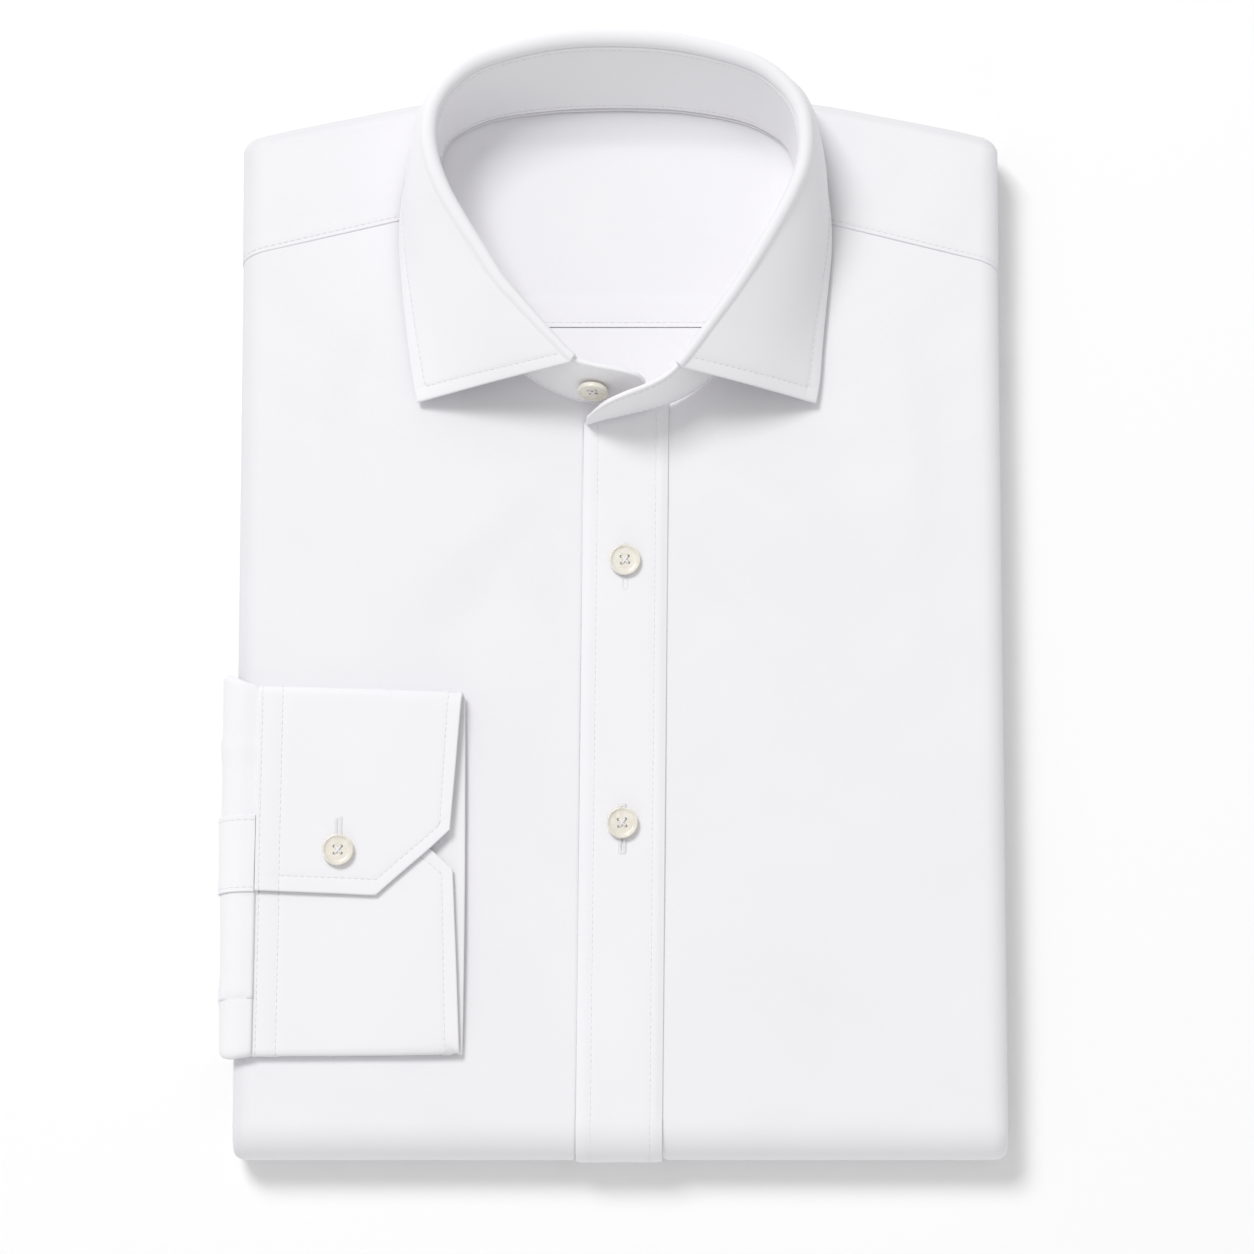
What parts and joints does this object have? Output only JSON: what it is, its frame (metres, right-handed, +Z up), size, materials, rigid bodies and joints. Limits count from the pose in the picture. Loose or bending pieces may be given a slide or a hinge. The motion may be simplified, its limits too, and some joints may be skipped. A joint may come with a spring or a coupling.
{
  "type": "folded dress shirt",
  "caption": "White long-sleeved button-up dress shirt, folded flat for storage, collar buttoned and standing, one cuff laid on the front.",
  "frame": {"origin": "on the resting surface, under the centre line of the front, near mid-length of the folded body", "axes": "+X to the viewer's right, towards the wearer's left side; +Y from the hem fold to the collar; +Z up, out of the front"},
  "size_m": [0.2753, 0.3933, 0.0602],
  "materials": {
    "folded_layers": "white woven cotton, matt, pressed",
    "right_front": "white woven cotton, matt, pressed",
    "left_front": "white woven cotton, matt, pressed",
    "placket": "white woven cotton, matt, pressed",
    "yoke": "white woven cotton, matt, pressed",
    "back": "white woven cotton, matt, inner side",
    "inner_yoke": "white woven cotton, matt, inner side",
    "collar_stand": "white woven cotton, matt, pressed",
    "collar_leaf": "white woven cotton, matt, pressed",
    "cuff": "white woven cotton, matt, pressed",
    "sleeve": "white woven cotton, matt, pressed",
    "sleeve_placket": "white woven cotton, matt, pressed",
    "button_front_1": "cream white, satin",
    "button_front_2": "cream white, satin",
    "button_cuff": "cream white, satin",
    "button_collar": "cream white, satin"
  },
  "bodies": {
    "root": {"folded_layers": "folded_layers", "right_front": "right_front", "left_front": "left_front", "placket": "placket", "yoke": "yoke", "back": "back", "inner_yoke": "inner_yoke", "collar_stand": "collar_stand", "collar_leaf": "collar_leaf", "cuff": "cuff", "sleeve": "sleeve", "sleeve_placket": "sleeve_placket", "button_front_1": "button_front_1", "button_front_2": "button_front_2", "button_cuff": "button_cuff", "button_collar": "button_collar"}
  },
  "joints": []
}
